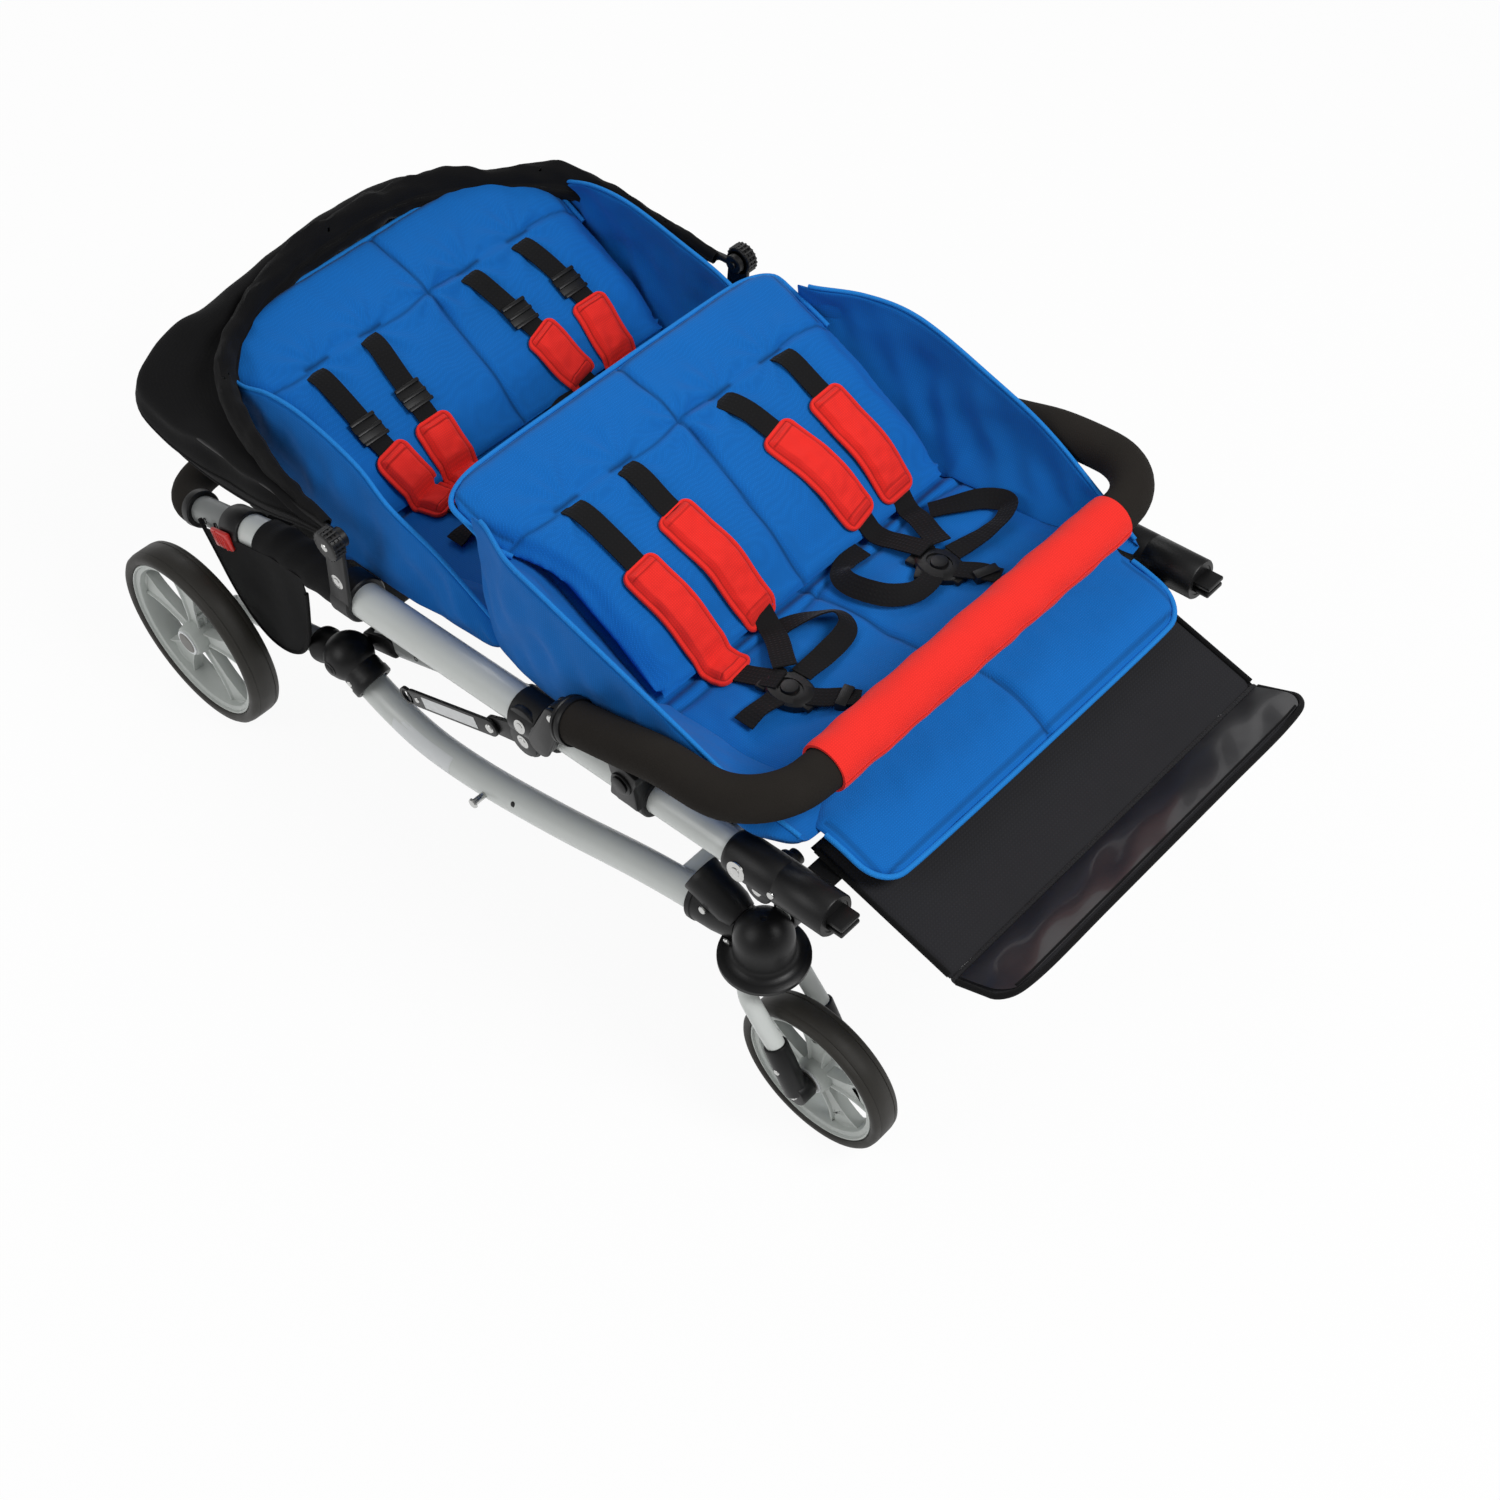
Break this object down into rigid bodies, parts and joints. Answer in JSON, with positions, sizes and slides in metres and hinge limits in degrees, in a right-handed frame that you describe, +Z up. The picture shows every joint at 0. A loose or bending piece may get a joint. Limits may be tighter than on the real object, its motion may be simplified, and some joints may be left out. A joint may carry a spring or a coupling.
{
  "type": "stroller",
  "caption": "Folding group stroller with two rows of wide padded seats, swivel front wheels, bumper bar and canopy, its frame folded down low.",
  "frame": {"origin": "on the ground, under the middle of the whole stroller's box", "axes": "+Z up, +Y from the foot tray towards the push handle, +X towards the stroller's left side"},
  "size_m": [0.738, 1.2258, 0.5114],
  "materials": {
    "silver_tube": "satin silver-white paint",
    "grey_tube": "satin grey paint",
    "black_plastic": "moulded black nylon",
    "foam": "closed black foam with a fine grain",
    "tyre": "dark foamed rubber",
    "rim_plastic": "light grey moulded plastic",
    "blue_fabric": "woven blue polyester",
    "black_fabric": "woven black polyester",
    "red_fabric": "woven red polyester",
    "red_plastic": "moulded red plastic",
    "board_fabric": "black woven fabric over a board"
  },
  "bodies": {
    "base_frame": {"base_tube_right": "silver_tube", "base_tube_left": "silver_tube", "rear_joint_right": "black_plastic", "rear_joint_left": "black_plastic", "caster_housing_right": "black_plastic", "caster_housing_left": "black_plastic", "rear_axle": "grey_tube", "base_cross_tube": "grey_tube", "front_cross_tube": "grey_tube"},
    "upper_frame": {"main_tube_right": "silver_tube", "main_tube_left": "silver_tube", "front_sleeve_right": "black_plastic", "front_sleeve_left": "black_plastic", "hinge_block_right": "black_plastic", "hinge_block_left": "black_plastic", "canopy_bracket_right": "black_plastic", "canopy_bracket_left": "black_plastic", "bumper_catch_right": "black_plastic", "bumper_catch_left": "black_plastic", "front_buckle_right": "black_plastic", "front_buckle_left": "black_plastic", "rear_buckle_right": "black_plastic", "rear_buckle_left": "black_plastic", "seat_cross_tube": "grey_tube", "front_seat_liner": "blue_fabric", "rear_seat_liner": "blue_fabric", "front_backrest_pad": "blue_fabric", "rear_backrest_pad": "blue_fabric", "footrest_panel": "board_fabric", "rear_basket": "black_fabric"},
    "handle": {"handle_bar": "foam"},
    "bumper": {"bumper_bar": "foam", "bumper_cover": "red_fabric"},
    "canopy": {"canopy_bow": "black_plastic", "canopy_cloth": "black_fabric"},
    "foot_tray": {"foot_tray": "board_fabric"},
    "fork_right": {"caster_fork_right": "silver_tube"},
    "front_wheel_right": {"front_tyre_right": "tyre", "front_rim_right": "rim_plastic"},
    "rear_wheel_right": {"rear_tyre_right": "tyre", "rear_rim_right": "rim_plastic"},
    "strut_sleeve_right": {"strut_sleeve_right": "grey_tube"},
    "strut_rod_right": {"strut_rod_right": "grey_tube"},
    "lock_link_right": {"lock_link_right": "black_plastic"},
    "handle_latch_right": {"handle_latch_right": "red_plastic"},
    "bumper_button_right": {"bumper_button_right": "black_plastic"},
    "front_buckle_button_right": {"front_buckle_button_right": "black_plastic"},
    "rear_buckle_button_right": {"rear_buckle_button_right": "black_plastic"},
    "fork_left": {"caster_fork_left": "silver_tube"},
    "front_wheel_left": {"front_tyre_left": "tyre", "front_rim_left": "rim_plastic"},
    "rear_wheel_left": {"rear_tyre_left": "tyre", "rear_rim_left": "rim_plastic"},
    "strut_sleeve_left": {"strut_sleeve_left": "grey_tube"},
    "strut_rod_left": {"strut_rod_left": "grey_tube"},
    "lock_link_left": {"lock_link_left": "black_plastic"},
    "handle_latch_left": {"handle_latch_left": "red_plastic"},
    "bumper_button_left": {"bumper_button_left": "black_plastic"},
    "front_buckle_button_left": {"front_buckle_button_left": "black_plastic"},
    "rear_buckle_button_left": {"rear_buckle_button_left": "black_plastic"}
  },
  "joints": [
    {"name": "frame_fold", "type": "hinge", "parent": "base_frame", "child": "upper_frame", "pos_m": [0, -0.35762, 0.341], "axis": [1, 0, 0], "range_deg": [0, 40]},
    {"name": "handle_slide", "type": "slide", "parent": "upper_frame", "child": "handle", "axis": [0, 0.9542, -0.299], "range_m": [0, 0.06]},
    {"name": "bumper_lift", "type": "hinge", "parent": "upper_frame", "child": "bumper", "pos_m": [0, -0.10162, 0.398], "axis": [1, 0, 0], "range_deg": [-75, 0]},
    {"name": "canopy_open", "type": "hinge", "parent": "upper_frame", "child": "canopy", "pos_m": [0, 0.22538, 0.414], "axis": [1, 0, 0], "range_deg": [0, 90]},
    {"name": "foot_tray_fold", "type": "hinge", "parent": "upper_frame", "child": "foot_tray", "pos_m": [0, -0.54962, 0.321], "axis": [1, 0, 0], "range_deg": [-45, 0]},
    {"name": "strut_swing_right", "type": "hinge", "parent": "base_frame", "child": "strut_sleeve_right", "pos_m": [-0.2495, 0.27538, 0.186], "axis": [1, 0, 0], "range_deg": [-20.5, 0]},
    {"name": "strut_slide_right", "type": "slide", "parent": "strut_sleeve_right", "child": "strut_rod_right", "axis": [0, -0.9295, 0.3689], "range_m": [0, 0.16]},
    {"name": "lock_link_swing_right", "type": "hinge", "parent": "upper_frame", "child": "lock_link_right", "pos_m": [-0.3045, 0.00838, 0.291], "axis": [1, 0, 0], "range_deg": [-44, 0]},
    {"name": "caster_swivel_right", "type": "hinge", "parent": "base_frame", "child": "fork_right", "pos_m": [-0.289, -0.35762, 0.23], "axis": [0, 0, 1], "continuous": true},
    {"name": "front_wheel_spin_right", "type": "hinge", "parent": "fork_right", "child": "front_wheel_right", "pos_m": [-0.289, -0.43162, 0.092], "axis": [1, 0, 0], "continuous": true},
    {"name": "rear_wheel_spin_right", "type": "hinge", "parent": "base_frame", "child": "rear_wheel_right", "pos_m": [-0.349, 0.48538, 0.118], "axis": [1, 0, 0], "continuous": true},
    {"name": "handle_latch_press_right", "type": "slide", "parent": "upper_frame", "child": "handle_latch_right", "axis": [1, 0, 0], "range_m": [0, 0.003], "stiffness_N_per_m": 400},
    {"name": "bumper_button_press_right", "type": "slide", "parent": "upper_frame", "child": "bumper_button_right", "axis": [1, 0, 0], "range_m": [0, 0.0025], "stiffness_N_per_m": 400},
    {"name": "front_buckle_press_right", "type": "slide", "parent": "upper_frame", "child": "front_buckle_button_right", "axis": [0, -0.1008, -0.9949], "range_m": [0, 0.0025], "stiffness_N_per_m": 300},
    {"name": "rear_buckle_press_right", "type": "slide", "parent": "upper_frame", "child": "rear_buckle_button_right", "axis": [0, -0.1008, -0.9949], "range_m": [0, 0.0025], "stiffness_N_per_m": 300},
    {"name": "strut_swing_left", "type": "hinge", "parent": "base_frame", "child": "strut_sleeve_left", "pos_m": [0.2495, 0.27538, 0.186], "axis": [1, 0, 0], "range_deg": [-20.5, 0]},
    {"name": "strut_slide_left", "type": "slide", "parent": "strut_sleeve_left", "child": "strut_rod_left", "axis": [0, -0.9295, 0.3689], "range_m": [0, 0.16]},
    {"name": "lock_link_swing_left", "type": "hinge", "parent": "upper_frame", "child": "lock_link_left", "pos_m": [0.3045, 0.00838, 0.291], "axis": [1, 0, 0], "range_deg": [-44, 0]},
    {"name": "caster_swivel_left", "type": "hinge", "parent": "base_frame", "child": "fork_left", "pos_m": [0.289, -0.35762, 0.23], "axis": [0, 0, 1], "continuous": true},
    {"name": "front_wheel_spin_left", "type": "hinge", "parent": "fork_left", "child": "front_wheel_left", "pos_m": [0.289, -0.43162, 0.092], "axis": [1, 0, 0], "continuous": true},
    {"name": "rear_wheel_spin_left", "type": "hinge", "parent": "base_frame", "child": "rear_wheel_left", "pos_m": [0.349, 0.48538, 0.118], "axis": [1, 0, 0], "continuous": true},
    {"name": "handle_latch_press_left", "type": "slide", "parent": "upper_frame", "child": "handle_latch_left", "axis": [-1, 0, 0], "range_m": [0, 0.003], "stiffness_N_per_m": 400},
    {"name": "bumper_button_press_left", "type": "slide", "parent": "upper_frame", "child": "bumper_button_left", "axis": [-1, 0, 0], "range_m": [0, 0.0025], "stiffness_N_per_m": 400},
    {"name": "front_buckle_press_left", "type": "slide", "parent": "upper_frame", "child": "front_buckle_button_left", "axis": [0, -0.1008, -0.9949], "range_m": [0, 0.0025], "stiffness_N_per_m": 300},
    {"name": "rear_buckle_press_left", "type": "slide", "parent": "upper_frame", "child": "rear_buckle_button_left", "axis": [0, -0.1008, -0.9949], "range_m": [0, 0.0025], "stiffness_N_per_m": 300}
  ],
  "couplings": [
    {"joint": "strut_swing_right", "follows": "frame_fold", "ratio": -0.50225},
    {"joint": "strut_slide_right", "follows": "frame_fold", "m_per_rad": 0.22713},
    {"joint": "strut_swing_left", "follows": "frame_fold", "ratio": -0.50225},
    {"joint": "strut_slide_left", "follows": "frame_fold", "m_per_rad": 0.22713}
  ]
}
